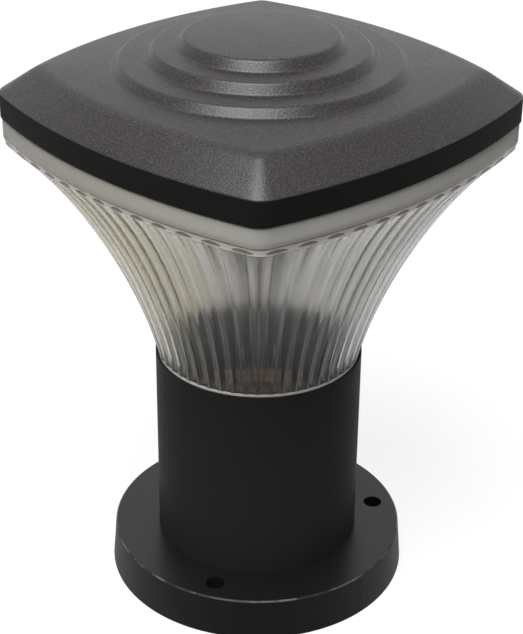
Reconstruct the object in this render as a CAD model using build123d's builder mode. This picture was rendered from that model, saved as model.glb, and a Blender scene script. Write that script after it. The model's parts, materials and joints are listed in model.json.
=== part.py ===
from build123d import *
import os
from math import atan2, cos, degrees, hypot, pi, radians, sin, sqrt, tan

# Garden post light: a bolt-down flange and a round post carry a clear fluted diffuser and a
# square cap. A central rod draws the cap, the diffuser and the post together, and is nutted from
# below. Millimetres, +Z up, origin at the middle of the flange's underside, cap sides along X, Y.

# Post
post_diameter = 90.0
post_wall = 3.0
post_top = 108.0
lip_wall = 0.9
port_inset = 5.0
port_wall = 3.4
port_bore = 4.0
port_count = 4

# Base flange
flange_ledge = 20.0
flange_thickness = 18.3
flange_rim_wall = 5.0
flange_hub_wall = 3.0
flange_web = 4.3
flange_draft = 5.0
flange_edge_bevel = 0.6
flange_opening_diameter = 60.0
post_seat_depth = 3.0
post_seat_clearance = 0.1
bolt_hole_diameter = 8.3
bolt_boss_wall = 3.6
bolt_count = 3
bolt_angle = 56.0

# Base gasket
base_gasket_width = 2.2
base_gasket_depth = 1.5
base_gasket_clearance = 0.1

# Flange screws
flange_screw_floor = 6.3
flange_screw_grip = 12.0
counterbore_diameter = 8.6

# Diffuser
neck_depth = 12.0
neck_wall = 3.6
neck_clearance = 0.1
neck_ring_height = 1.2
neck_seal_thickness = 1.5
neck_seal_clearance = 0.2
flare_foot_wall = 3.4
flare_top_wall = 4.4
flare_height = 94.6
flare_step = 0.15
flute_count = 52
first_crest_angle = 45.0
groove_share = 0.73
groove_ratio = 0.11
strip_height = 2.9
strip_lean = 0.7
band_step = 0.25
band_height = 8.1
rim_setback = 0.6
rim_wall = 4.4
tongue_wall = 2.0
tongue_height = 6.0

# Share of the flare's spread that is reached at a share of its height
flare_straight = 0.45
flare_square = 0.47
flare_lip = 0.08
flare_lip_power = 8
flare_levels = (0.0, 0.3, 0.6, 0.85, 1.0)

# Cap gasket
cap_gasket_thickness = 0.8
cap_gasket_width = 1.7
cap_gasket_clearance = 0.3

# Cap
cap_width = 174.5
cap_side_radius = 254.0
cap_corner_radius = 10.0
cap_wall = 2.4
cap_rim_height = 10.3
bevel_height = 10.8
crease_setback = 13.25
crease_side_radius = 197.0
crease_corner_radius = 4.0
plateau_rise = 1.2
plateau_margin = 0.6
crown_radii = (60.0, 46.5, 34.3)
crown_risers = (3.6, 4.2, 4.2)
riser_run = 3.0
riser_fillet = 0.9
tread_rise = 0.4
dome_rise = 1.0
crown_overlap = 1.2

# Bridge plate across the post
bridge_drop = 27.5
bridge_thickness = 3.0
bridge_width = 32.0
bridge_end_clearance = 0.6

# Terminal block on the bridge plate
terminal_width = 30.0
terminal_depth = 12.0
terminal_height = 19.0
terminal_setback = 3.2
terminal_pitch = 16.0
terminal_tube_diameter = 5.2
terminal_tube_bore = 2.6
terminal_floor = 3.0
terminal_screw_diameter = 4.1
terminal_screw_heights = (7.0, 14.0)
terminal_screw_recess = 0.3
terminal_edge_fillet = 0.8
supply_hole_diameter = 3.2
supply_hole_height = 6.0
earth_offset = 24.0

# Tie rod
rod_diameter = 4.0
rod_hole_clearance = 0.25
rod_tail = 4.0
rod_end_bevel = 0.5
nut_across_flats = 7.0
nut_thickness = 3.2
washer_diameter = 9.0
washer_thickness = 0.8
lock_washer_diameter = 7.6
lock_washer_thickness = 1.0
lock_washer_slit = 0.8
insert_diameter = 7.0
insert_length = 10.0
centre_boss_wall = 3.5

# Light source under the cap
tray_clearance = 4.0
tray_thickness = 2.0
tray_corner_radius = 12.0
boss_gap = 1.0
tray_screw_pitch = 104.0
tray_boss_wall = 3.6
board_diameter = 104.0
board_thickness = 1.6
centre_hole_diameter = 16.0
board_screw_circle = 92.0
board_screw_count = 3
chip_length = 3.5
chip_width = 2.8
chip_height = 0.8
chip_ring_diameters = (76.0, 48.0)
chip_ring_counts = (16, 8)

# Driver in the hollow of the cap
driver_length = 76.0
driver_width = 28.0
driver_height = 12.0
driver_setback = 26.0
driver_fillet = 1.5
driver_ear_length = 11.0
driver_ear_width = 14.0
driver_ear_thickness = 2.0

# Wiring
lead_diameter = 1.8
lead_gap = 0.4
lead_clearance = 0.3
lead_height_at_driver = 6.0
lead_start = 3.0
lead_stand = 10.0
lead_gather = 22.0
bend_share = 0.45
bush_flange_diameter = 12.4
bush_flange_height = 1.2
bush_waist_diameter = 9.6
bush_bore = 5.2
bush_places = ((0.0, 14.0), (25.0, 18.0))
board_lead_hole_diameter = 6.8
tie_wall = 1.0
tie_height = 3.0
tie_count = 3

# Screws: threads are plain cylinders, a little under the hole that they are cut in
thread_clearance = 0.05
machine_screw = 3.8
machine_head = 7.6
machine_head_height = 2.6
small_screw = 2.6
small_head = 5.6
small_head_height = 2.0
pass_clearance = 0.3
pilot_grip = 9.0
recess_width = 0.9
recess_share = 0.62
recess_depth = 1.2

# Heights and radii that follow from the sizes above
post_radius = post_diameter / 2
post_inner_radius = post_radius - post_wall
flange_radius = post_radius + flange_ledge
flange_foot_radius = flange_radius + flange_thickness * tan(radians(flange_draft))
bolt_circle_radius = (post_radius + flange_radius) / 2
post_foot = flange_thickness - post_seat_depth
port_circle_radius = post_inner_radius - port_inset
mouth_radius = post_radius - lip_wall
neck_radius = mouth_radius - neck_clearance
neck_foot = post_top - neck_depth
shelf_height = neck_foot - neck_seal_thickness
flare_foot = post_top + neck_ring_height
flare_radius = neck_radius - flare_step
strip_foot = post_top + flare_height
band_foot = strip_foot + strip_height
rim_top = band_foot + band_height
cap_foot = rim_top + cap_gasket_thickness
cap_rim_top = cap_foot + cap_rim_height
crease_height = cap_rim_top + bevel_height
plateau_height = crease_height + plateau_rise
crown_height = plateau_height + sum(crown_risers) + tread_rise * (len(crown_risers) - 1) + dome_rise
cap_half_width = cap_width / 2
flare_inset = rim_setback + strip_lean + flare_step
rim_inner_inset = rim_setback + rim_wall
bridge_foot = shelf_height - bridge_drop
bridge_top = bridge_foot + bridge_thickness
board_foot = cap_foot
tray_foot = board_foot + board_thickness
tray_top = tray_foot + tray_thickness
boss_foot = tray_top + boss_gap
lead_offset = (lead_diameter + lead_gap) / 2

# The inside pieces of the post are turned to lie along the head's diagonal
diagonal = (1, 1, 0)
across = (1, -1, 0)

# Angles in a quarter turn at which smooth curves are fixed, closer together round the corner
quarter_angles = (0, 20, 34, 41, 45, 49, 56, 70, 90)


def diagonal_plane(height):
    """Level plane whose first axis runs along the head's diagonal."""
    return Plane((0, 0, height), x_dir=diagonal, z_dir=(0, 0, 1))


def ceiling_plane(height, x_dir=(1, 0, 0)):
    """Level plane that faces down."""
    return Plane((0, 0, height), x_dir=x_dir, z_dir=(0, 0, -1))


def square_arcs(side_mid, side_radius, corner_radius):
    """Centres of the bowed side and the round corner of a square, and where the two arcs meet."""
    side_centre = side_mid - side_radius
    reach = side_radius - corner_radius
    corner_centre = (side_centre + sqrt(2 * reach**2 - side_centre**2)) / 2
    meet_x = side_centre + (corner_centre - side_centre) * side_radius / reach
    meet_y = corner_centre * side_radius / reach
    return side_centre, corner_centre, (meet_x, meet_y)


def draw_square(side_mid, side_radius, corner_radius):
    """Draw a square with bowed sides and round corners as eight tangent arcs."""
    corner_centre, (meet_x, meet_y) = square_arcs(side_mid, side_radius, corner_radius)[1:]
    tip = corner_centre + corner_radius / sqrt(2)
    for quarter in range(4):
        turn = 90 * quarter
        side_start = Vector(meet_x, -meet_y).rotate(Axis.Z, turn)
        side_middle = Vector(side_mid, 0).rotate(Axis.Z, turn)
        side_end = Vector(meet_x, meet_y).rotate(Axis.Z, turn)
        corner_tip = Vector(tip, tip).rotate(Axis.Z, turn)
        corner_end = Vector(meet_y, meet_x).rotate(Axis.Z, turn)
        ThreePointArc(side_start, side_middle, side_end)
        ThreePointArc(side_end, corner_tip, corner_end)


def draw_head_plan(inset):
    """Draw the cap's plan, moved in by an even distance."""
    draw_square(cap_half_width - inset, cap_side_radius - inset, cap_corner_radius - inset)


def head_plan_radius(angle, inset):
    """Distance from the axis to the cap's plan, moved in by an even distance, at an angle in degrees."""
    side_mid = cap_half_width - inset
    side_radius = cap_side_radius - inset
    corner_radius = cap_corner_radius - inset
    side_centre, corner_centre, (meet_x, meet_y) = square_arcs(side_mid, side_radius, corner_radius)
    from_side = radians(abs((angle + 45) % 90 - 45))
    if from_side < atan2(meet_y, meet_x):
        return side_centre * cos(from_side) + sqrt(side_radius**2 - (side_centre * sin(from_side)) ** 2)
    from_corner = pi / 4 - from_side
    corner_reach = corner_centre * sqrt(2)
    return corner_reach * cos(from_corner) + sqrt(corner_radius**2 - (corner_reach * sin(from_corner)) ** 2)


def flare_share(level):
    """Share of the flare's spread at a share of its height."""
    return flare_straight * level + flare_square * level**2 + flare_lip * level**flare_lip_power


def flare_slope(level):
    """Growth of flare_share for each unit of level."""
    lip_slope = flare_lip * flare_lip_power * level ** (flare_lip_power - 1)
    return flare_straight + 2 * flare_square * level + lip_slope


def flare_land(angle, level):
    """Distance from the axis to the crests between the grooves."""
    spread = head_plan_radius(angle, flare_inset) - flare_radius
    return flare_radius + spread * flare_share(level)


def flare_stretch(angle, level):
    """Level width of the leaning wall for each unit of its thickness."""
    spread = head_plan_radius(angle, flare_inset) - flare_radius
    return hypot(1, spread * flare_slope(level) / flare_height)


def flare_inside(angle, level):
    """Distance from the axis to the smooth inner face: the wall grows thicker towards the top."""
    wall = flare_foot_wall + (flare_top_wall - flare_foot_wall) * level
    return flare_land(angle, level) - wall * flare_stretch(angle, level)


def polar(radius, angle):
    """Point at a radius and an angle in degrees."""
    return (radius * cos(radians(angle)), radius * sin(radians(angle)))


def draw_flutes(level):
    """Draw one level of the fluted flare: hollow groove arcs joined by crest arcs."""
    pitch = 360 / flute_count
    half_groove = pitch * groove_share / 2
    for flute in range(flute_count):
        crest = first_crest_angle + flute * pitch
        groove = crest + pitch / 2
        width = 2 * radians(half_groove) * flare_land(groove, level)
        depth = groove_ratio * width * flare_stretch(groove, level)
        bottom = flare_land(groove, level) - depth
        start = groove - half_groove
        end = groove + half_groove
        next_start = start + pitch
        next_crest = crest + pitch
        edge_in = polar(flare_land(start, level), start)
        edge_out = polar(flare_land(end, level), end)
        ThreePointArc(edge_in, polar(bottom, groove), edge_out)
        ThreePointArc(
            edge_out,
            polar(flare_land(next_crest, level), next_crest),
            polar(flare_land(next_start, level), next_start),
        )


def draw_smooth(radius_at):
    """Draw a four-fold closed curve from its radius at each angle, one spline for each quarter."""
    for quarter in range(4):
        first = 90 * quarter
        points = [polar(radius_at(first + angle), first + angle) for angle in quarter_angles]
        Spline(points, tangents=(polar(1, first + 90), polar(1, first + 180)))


def crown_points(inset):
    """Profile of the cap's raised rings, from the outer foot to the middle, moved in and down."""
    points = []
    height = plateau_height - inset
    for radius, riser in zip(crown_radii, crown_risers):
        points.append((radius - inset, height))
        height += riser
        points.append((radius - riser_run - inset, height))
        height += tread_rise
    points.append((0, crown_height - inset))
    return points


def draw_round(radius, side_mid, side_radius, corner_radius):
    """Draw a circle as eight arcs that break where those of a bowed square do."""
    meet_x, meet_y = square_arcs(side_mid, side_radius, corner_radius)[2]
    meet = degrees(atan2(meet_y, meet_x))
    for quarter in range(4):
        side = 90 * quarter
        ThreePointArc(polar(radius, side - meet), polar(radius, side), polar(radius, side + meet))
        ThreePointArc(
            polar(radius, side + meet), polar(radius, side + 45), polar(radius, side + 90 - meet)
        )


def lead(route):
    """Round wire along straight runs, with each bend as wide as its runs allow."""
    points = [diagonal_plane(0).from_local_coords(point) for point in route]
    runs = [after - before for before, after in zip(points, points[1:])]
    bends = []
    for before, after in zip(runs, runs[1:]):
        half_turn = radians(before.get_angle(after)) / 2
        bends.append(bend_share * min(before.length, after.length) / tan(half_turn))
    with BuildPart() as wire:
        with BuildLine() as path:
            FilletPolyline(*points, radius=bends)
        with BuildSketch(Plane(path.line @ 0, z_dir=path.line % 0)):
            Circle(lead_diameter / 2)
        sweep(path=path.line)
    return wire.part


def ring(plane, outer_diameter, inner_diameter, thickness):
    """Flat ring, extruded from a plane."""
    with BuildPart() as flat_ring:
        with BuildSketch(plane):
            Circle(outer_diameter / 2)
            Circle(inner_diameter / 2, mode=Mode.SUBTRACT)
        extrude(amount=thickness)
    return flat_ring


def hex_nut(plane, bore):
    """Hexagon nut, extruded from a plane."""
    with BuildPart() as nut:
        with BuildSketch(plane):
            RegularPolygon(nut_across_flats / 2, 6, major_radius=False)
            Circle(bore / 2, mode=Mode.SUBTRACT)
        extrude(amount=nut_thickness)
    return nut


def screws(seat, places, shank, length, head, head_height):
    """Pan-head screws with a cross recess. The seat plane carries the heads and faces outwards."""
    with BuildPart() as group:
        with BuildSketch(seat):
            with Locations(*places):
                Circle(shank / 2)
        extrude(amount=-length)
        with BuildSketch(seat):
            with Locations(*places):
                Circle(head / 2)
        extrude(amount=head_height)
        with BuildSketch(seat.offset(head_height)):
            with Locations(*places):
                Rectangle(head * recess_share, recess_width)
                Rectangle(recess_width, head * recess_share)
        extrude(amount=-recess_depth, mode=Mode.SUBTRACT)
    return group


def finish(piece, name):
    """Label a finished piece and write it."""
    piece.part.label = name
    export_step(piece.part, f"parts/{name}.step")


os.makedirs("parts", exist_ok=True)

# Base flange: a shallow cast cup, open in the middle for the cable, with bosses at its bolt holes
port_places = [polar(port_circle_radius, 360 * port / port_count) for port in range(port_count)]
pocket_inner_radius = post_radius + flange_hub_wall
pocket_outer_radius = flange_radius - flange_rim_wall
groove_middle_radius = flange_radius - flange_rim_wall / 2
groove_outer_radius = groove_middle_radius + base_gasket_width / 2 + base_gasket_clearance
groove_inner_radius = groove_middle_radius - base_gasket_width / 2 - base_gasket_clearance
flange_screw_seat = post_foot - flange_screw_floor
with BuildPart() as base_flange:
    Cone(
        flange_foot_radius,
        flange_radius,
        flange_thickness,
        align=(Align.CENTER, Align.CENTER, Align.MIN),
    )
    top_rim = base_flange.edges().filter_by(GeomType.CIRCLE).sort_by(Axis.Z)[-1]
    chamfer(top_rim, flange_edge_bevel)
    with BuildSketch():
        Circle(pocket_outer_radius)
        Circle(pocket_inner_radius, mode=Mode.SUBTRACT)
    extrude(amount=flange_thickness - flange_web, mode=Mode.SUBTRACT)
    with BuildSketch():
        with PolarLocations(bolt_circle_radius, bolt_count, start_angle=bolt_angle):
            Circle(bolt_hole_diameter / 2 + bolt_boss_wall)
    extrude(amount=flange_thickness - flange_web / 2)
    with BuildSketch():
        with PolarLocations(bolt_circle_radius, bolt_count, start_angle=bolt_angle):
            Circle(bolt_hole_diameter / 2)
    extrude(amount=flange_thickness, mode=Mode.SUBTRACT)
    with BuildSketch(Plane.XY.offset(post_foot)):
        Circle(post_radius + post_seat_clearance)
    extrude(amount=post_seat_depth, mode=Mode.SUBTRACT)
    with BuildSketch():
        Circle(flange_opening_diameter / 2)
    extrude(amount=flange_thickness, mode=Mode.SUBTRACT)
    with BuildSketch(diagonal_plane(0)):
        with Locations(*port_places):
            Circle(counterbore_diameter / 2)
    extrude(amount=flange_screw_seat, mode=Mode.SUBTRACT)
    with BuildSketch(diagonal_plane(0)):
        with Locations(*port_places):
            Circle(machine_screw / 2 + pass_clearance)
    extrude(amount=flange_thickness, mode=Mode.SUBTRACT)
    with BuildSketch():
        Circle(groove_outer_radius)
        Circle(groove_inner_radius, mode=Mode.SUBTRACT)
    extrude(amount=base_gasket_depth, mode=Mode.SUBTRACT)
finish(base_flange, "base_flange")

# Base gasket: rubber ring, level with the flange's underside
base_gasket = ring(
    Plane.XY,
    2 * groove_middle_radius + base_gasket_width,
    2 * groove_middle_radius - base_gasket_width,
    base_gasket_depth,
)
finish(base_gasket, "base_gasket")

# Post: extruded tube with four screw ports, bored out at its mouth to a thin lip and a shelf
with BuildPart() as post_tube:
    with BuildSketch(diagonal_plane(post_foot)):
        Circle(post_radius)
        Circle(post_inner_radius, mode=Mode.SUBTRACT)
        with Locations(*port_places):
            Circle(port_bore / 2 + port_wall)
        with Locations(*port_places):
            Circle(port_bore / 2, mode=Mode.SUBTRACT)
    extrude(amount=bridge_foot - post_foot)
    with BuildSketch(Plane.XY.offset(bridge_foot)):
        Circle(post_radius)
        Circle(post_inner_radius, mode=Mode.SUBTRACT)
    extrude(amount=shelf_height - bridge_foot)
    with BuildSketch(Plane.XY.offset(shelf_height)):
        Circle(post_radius)
        Circle(mouth_radius, mode=Mode.SUBTRACT)
    extrude(amount=post_top - shelf_height)
finish(post_tube, "post_tube")

# Flange screws: driven up through the flange into the post's ports
flange_screws = screws(
    ceiling_plane(flange_screw_seat, diagonal),
    port_places,
    machine_screw,
    flange_screw_floor + flange_screw_grip,
    machine_head,
    machine_head_height,
)
finish(flange_screws, "flange_screws")

# Neck seal: flat rubber ring on the shelf in the post's mouth
neck_seal = ring(
    Plane.XY.offset(shelf_height),
    2 * (mouth_radius - neck_seal_clearance),
    2 * (post_inner_radius + neck_seal_clearance),
    neck_seal_thickness,
)
finish(neck_seal, "neck_seal")

# Bridge plate: spans the post on two of its ports and takes the pull of the rod
bridge_screw_places = [(-port_circle_radius, 0), (port_circle_radius, 0)]
terminal_middle = terminal_setback + terminal_depth / 2
with BuildPart() as bridge_plate:
    with BuildSketch(diagonal_plane(bridge_foot)):
        Rectangle(post_diameter, bridge_width)
        Circle(post_inner_radius - bridge_end_clearance, mode=Mode.INTERSECT)
        Circle(rod_diameter / 2 + rod_hole_clearance, mode=Mode.SUBTRACT)
        with Locations(*bridge_screw_places):
            Circle(machine_screw / 2 + pass_clearance, mode=Mode.SUBTRACT)
        with Locations((0, terminal_middle)):
            Circle(small_screw / 2 + thread_clearance, mode=Mode.SUBTRACT)
        with Locations((earth_offset, 0)):
            Circle(machine_screw / 2 + thread_clearance, mode=Mode.SUBTRACT)
    extrude(amount=bridge_thickness)
finish(bridge_plate, "bridge_plate")

# Bridge screws: driven down into the two ports
bridge_screws = screws(
    diagonal_plane(bridge_top),
    bridge_screw_places,
    machine_screw,
    bridge_thickness + flange_screw_grip,
    machine_head,
    machine_head_height,
)
finish(bridge_screws, "bridge_screws")

# Terminal block: brown moulding with two upright contact tubes, clamp screws facing the rod
terminal_top = bridge_top + terminal_height
tube_foot = bridge_top + terminal_floor
tube_places = [(-terminal_pitch / 2, terminal_middle), (terminal_pitch / 2, terminal_middle)]
tube_front = terminal_middle - terminal_tube_diameter / 2
front_origin = diagonal_plane(bridge_top).from_local_coords((0, terminal_setback, 0))
back_origin = diagonal_plane(bridge_top).from_local_coords((0, terminal_setback + terminal_depth, 0))
terminal_front = Plane(front_origin, x_dir=diagonal, z_dir=across)
terminal_back = Plane(back_origin, x_dir=(-1, -1, 0), z_dir=(-1, 1, 0))
clamp_places = [
    (side * terminal_pitch / 2, height) for side in (-1, 1) for height in terminal_screw_heights
]
supply_places = [(side * terminal_pitch / 2, supply_hole_height) for side in (-1, 1)]
with BuildPart() as terminal_block:
    with BuildSketch(diagonal_plane(bridge_top)):
        with Locations((0, terminal_middle)):
            Rectangle(terminal_width, terminal_depth)
    extrude(amount=terminal_height)
    fillet(terminal_block.edges().filter_by(Axis.Z), terminal_edge_fillet)
    with BuildSketch(diagonal_plane(tube_foot)):
        with Locations(*tube_places):
            Circle(terminal_tube_diameter / 2 + thread_clearance)
    extrude(amount=terminal_top - tube_foot, mode=Mode.SUBTRACT)
    with BuildSketch(diagonal_plane(bridge_top)):
        with Locations((0, terminal_middle)):
            Circle(small_screw / 2 + pass_clearance)
    extrude(amount=terminal_height, mode=Mode.SUBTRACT)
    with BuildSketch(terminal_front):
        with Locations(*clamp_places):
            Circle(terminal_screw_diameter / 2 + thread_clearance)
    extrude(amount=terminal_setback - terminal_middle, mode=Mode.SUBTRACT)
    with BuildSketch(terminal_back):
        with Locations(*supply_places):
            Circle(supply_hole_diameter / 2)
    extrude(amount=-terminal_depth / 2, mode=Mode.SUBTRACT)
finish(terminal_block, "terminal_block")

# Terminal tubes: brass contacts, open at the top for the leads
tube_length = terminal_height - terminal_floor - terminal_screw_recess
with BuildPart() as terminal_tubes:
    with BuildSketch(diagonal_plane(tube_foot)):
        with Locations(*tube_places):
            Circle(terminal_tube_diameter / 2)
            Circle(terminal_tube_bore / 2, mode=Mode.SUBTRACT)
    extrude(amount=tube_length)
finish(terminal_tubes, "terminal_tubes")

# Terminal screws: grub screws that clamp the leads, slotted, a little below the block's face
with BuildPart() as terminal_screws:
    with BuildSketch(terminal_front.offset(-terminal_screw_recess)):
        with Locations(*clamp_places):
            Circle(terminal_screw_diameter / 2)
    extrude(amount=terminal_setback + terminal_screw_recess - tube_front)
    with BuildSketch(terminal_front.offset(-terminal_screw_recess)):
        with Locations(*clamp_places):
            Rectangle(terminal_screw_diameter, recess_width)
    extrude(amount=-recess_depth, mode=Mode.SUBTRACT)
finish(terminal_screws, "terminal_screws")

# Terminal fixing screw: holds the block to the bridge plate
terminal_fixing_screw = screws(
    diagonal_plane(terminal_top),
    [(0, terminal_middle)],
    small_screw,
    terminal_height + bridge_thickness,
    small_head,
    small_head_height,
)
finish(terminal_fixing_screw, "terminal_fixing_screw")

# Earth point on the bridge plate
earth_plane = diagonal_plane(bridge_top)
earth_origin = earth_plane.from_local_coords((earth_offset, 0, 0))
earth_washer = ring(
    Plane(earth_origin, x_dir=diagonal, z_dir=(0, 0, 1)),
    washer_diameter,
    machine_screw + 2 * pass_clearance,
    washer_thickness,
)
finish(earth_washer, "earth_washer")
earth_screw = screws(
    diagonal_plane(bridge_top + washer_thickness),
    [(earth_offset, 0)],
    machine_screw,
    washer_thickness + bridge_thickness + pilot_grip / 2,
    machine_head,
    machine_head_height,
)
finish(earth_screw, "earth_screw")

# Rod's lower fixing under the bridge plate: plain washer, split washer and nut
rod_bore = rod_diameter + 2 * thread_clearance
tie_washer_foot = bridge_foot - washer_thickness
tie_washer = ring(
    Plane.XY.offset(tie_washer_foot), washer_diameter, rod_diameter + 2 * rod_hole_clearance, washer_thickness
)
finish(tie_washer, "tie_washer")
lock_washer_foot = tie_washer_foot - lock_washer_thickness
with BuildPart() as lock_washer:
    with BuildSketch(diagonal_plane(lock_washer_foot)):
        Circle(lock_washer_diameter / 2)
        Circle(rod_diameter / 2 + rod_hole_clearance, mode=Mode.SUBTRACT)
        with Locations((lock_washer_diameter / 2, 0)):
            Rectangle(lock_washer_diameter, lock_washer_slit, mode=Mode.SUBTRACT)
    extrude(amount=lock_washer_thickness)
finish(lock_washer, "lock_washer")
tie_nut_foot = lock_washer_foot - nut_thickness
tie_nut = hex_nut(Plane.XY.offset(tie_nut_foot), rod_bore)
finish(tie_nut, "tie_nut")

# Tie rod: from below the nut up into the brass insert in the cap
rod_foot = tie_nut_foot - rod_tail
rod_top = boss_foot + insert_length
with BuildPart() as tie_rod:
    with BuildSketch(Plane.XY.offset(rod_foot)):
        Circle(rod_diameter / 2)
    extrude(amount=rod_top - rod_foot)
    chamfer(tie_rod.edges().filter_by(GeomType.CIRCLE), rod_end_bevel)
finish(tie_rod, "tie_rod")
jam_nut = hex_nut(Plane.XY.offset(boss_foot - nut_thickness), rod_bore)
finish(jam_nut, "jam_nut")
rod_insert = ring(Plane.XY.offset(boss_foot), insert_diameter, rod_bore, insert_length)
finish(rod_insert, "rod_insert")

# Diffuser: neck ring in the post's mouth, fluted flare, plain strip, rim band and inner tongue
with BuildPart() as diffuser:
    for level in flare_levels:
        flute_height = flare_foot + (strip_foot - flare_foot) * level
        with BuildSketch(Plane.XY.offset(flute_height)):
            with BuildLine():
                draw_flutes((flute_height - post_top) / flare_height)
            make_face()
    loft(clean=False)
    with BuildSketch(Plane.XY.offset(neck_foot)):
        Circle(neck_radius)
    extrude(amount=flare_foot - neck_foot, clean=False)
    with BuildSketch(Plane.XY.offset(strip_foot)):
        with BuildLine():
            draw_head_plan(flare_inset - flare_step)
        make_face()
    with BuildSketch(Plane.XY.offset(band_foot)):
        with BuildLine():
            draw_head_plan(rim_setback + band_step)
        make_face()
    loft(clean=False)
    with BuildSketch(Plane.XY.offset(band_foot)):
        with BuildLine():
            draw_head_plan(rim_setback)
        make_face()
    extrude(amount=band_height, clean=False)
    with BuildSketch(Plane.XY.offset(rim_top)):
        with BuildLine():
            draw_head_plan(rim_inner_inset - tongue_wall)
        make_face()
    extrude(amount=tongue_height, clean=False)
    with BuildSketch(Plane.XY.offset(neck_foot)):
        Circle(neck_radius - neck_wall)
    extrude(amount=flare_foot - neck_foot, mode=Mode.SUBTRACT, clean=False)
    for level in flare_levels:
        inside_height = flare_foot + (strip_foot - flare_foot) * level
        inside_level = (inside_height - post_top) / flare_height
        with BuildSketch(Plane.XY.offset(inside_height)):
            with BuildLine():
                draw_smooth(lambda angle: flare_inside(angle, inside_level))
            make_face()
    loft(mode=Mode.SUBTRACT, clean=False)
    with BuildSketch(Plane.XY.offset(strip_foot)):
        with BuildLine():
            draw_smooth(lambda angle: flare_inside(angle, 1.0))
        make_face()
    with BuildSketch(Plane.XY.offset(band_foot)):
        with BuildLine():
            draw_smooth(lambda angle: head_plan_radius(angle, rim_inner_inset))
        make_face()
    loft(mode=Mode.SUBTRACT, clean=False)
    with BuildSketch(Plane.XY.offset(band_foot)):
        with BuildLine():
            draw_smooth(lambda angle: head_plan_radius(angle, rim_inner_inset))
        make_face()
    extrude(amount=band_height + tongue_height, mode=Mode.SUBTRACT, clean=False)
finish(diffuser, "diffuser")

# Cap gasket: rubber strip on the diffuser's rim, round the tongue
gasket_inner_inset = rim_inner_inset - tongue_wall - cap_gasket_clearance
with BuildPart() as cap_gasket:
    with BuildSketch(Plane.XY.offset(rim_top)):
        with BuildLine():
            draw_head_plan(gasket_inner_inset - cap_gasket_width)
        make_face()
        with BuildLine():
            draw_head_plan(gasket_inner_inset)
        make_face(mode=Mode.SUBTRACT)
    extrude(amount=cap_gasket_thickness)
finish(cap_gasket, "cap_gasket")

# Cap: moulded shell with a vertical rim, a bevel, a plateau and three raised rings, and bosses inside
bevel_angle = atan2(bevel_height, crease_setback)
crease_inner_inset = cap_wall * tan(bevel_angle / 2)
rim_inner_top = cap_rim_top - cap_wall * tan(pi / 4 - bevel_angle / 2)
crease_side_mid = cap_half_width - crease_setback
plateau_radius = crown_radii[0] + plateau_margin
crown_base = plateau_height - crown_overlap
crown_inner_base = crease_height - cap_wall - crown_overlap
tray_boss_places = [(x * tray_screw_pitch / 2, y * tray_screw_pitch / 2) for x in (-1, 1) for y in (-1, 1)]
with BuildPart() as cap_shell:
    with BuildSketch(Plane.XY.offset(cap_foot)):
        with BuildLine():
            draw_head_plan(0)
        make_face()
    extrude(amount=cap_rim_height)
    with BuildSketch(Plane.XY.offset(cap_rim_top)):
        with BuildLine():
            draw_head_plan(0)
        make_face()
    with BuildSketch(Plane.XY.offset(crease_height)):
        with BuildLine():
            draw_square(crease_side_mid, crease_side_radius, crease_corner_radius)
        make_face()
    loft()
    with BuildSketch(Plane.XY.offset(crease_height)):
        with BuildLine():
            draw_square(crease_side_mid, crease_side_radius, crease_corner_radius)
        make_face()
    with BuildSketch(Plane.XY.offset(plateau_height)):
        with BuildLine():
            draw_round(plateau_radius, crease_side_mid, crease_side_radius, crease_corner_radius)
        make_face()
    loft()
    with BuildSketch(Plane.XZ) as crown:
        with BuildLine():
            Polyline((0, crown_base), (crown_radii[0], crown_base), *crown_points(0), close=True)
        make_face()
        raised = crown.vertices().filter_by(lambda corner: corner.Y > plateau_height)
        fillet(raised.filter_by(lambda corner: corner.X > riser_run), riser_fillet)
    revolve(axis=Axis.Z)
    with BuildSketch(Plane.XY.offset(cap_foot)):
        with BuildLine():
            draw_head_plan(cap_wall)
        make_face()
    extrude(amount=rim_inner_top - cap_foot, mode=Mode.SUBTRACT)
    with BuildSketch(Plane.XY.offset(rim_inner_top)):
        with BuildLine():
            draw_head_plan(cap_wall)
        make_face()
    with BuildSketch(Plane.XY.offset(crease_height - cap_wall)):
        with BuildLine():
            draw_square(
                crease_side_mid - crease_inner_inset,
                crease_side_radius - crease_inner_inset,
                crease_corner_radius - crease_inner_inset,
            )
        make_face()
    loft(mode=Mode.SUBTRACT)
    with BuildSketch(Plane.XZ):
        with BuildLine():
            Polyline(
                (0, crown_inner_base),
                (crown_radii[0] - cap_wall, crown_inner_base),
                *crown_points(cap_wall),
                close=True,
            )
        make_face()
    revolve(axis=Axis.Z, mode=Mode.SUBTRACT)
    with BuildSketch(Plane.XY.offset(boss_foot)):
        Circle(insert_diameter / 2 + centre_boss_wall)
    extrude(amount=crown_height - cap_wall / 2 - boss_foot)
    with BuildSketch(Plane.XY.offset(tray_top)):
        with Locations(*tray_boss_places):
            Circle(small_screw / 2 + tray_boss_wall)
    extrude(amount=crease_height - cap_wall / 2 - tray_top)
    with BuildSketch(Plane.XY.offset(boss_foot)):
        Circle(insert_diameter / 2 + thread_clearance)
    extrude(amount=insert_length, mode=Mode.SUBTRACT)
    with BuildSketch(Plane.XY.offset(tray_top)):
        with Locations(*tray_boss_places):
            Circle(small_screw / 2 + thread_clearance)
    extrude(amount=pilot_grip, mode=Mode.SUBTRACT)
finish(cap_shell, "cap_shell")

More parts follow.
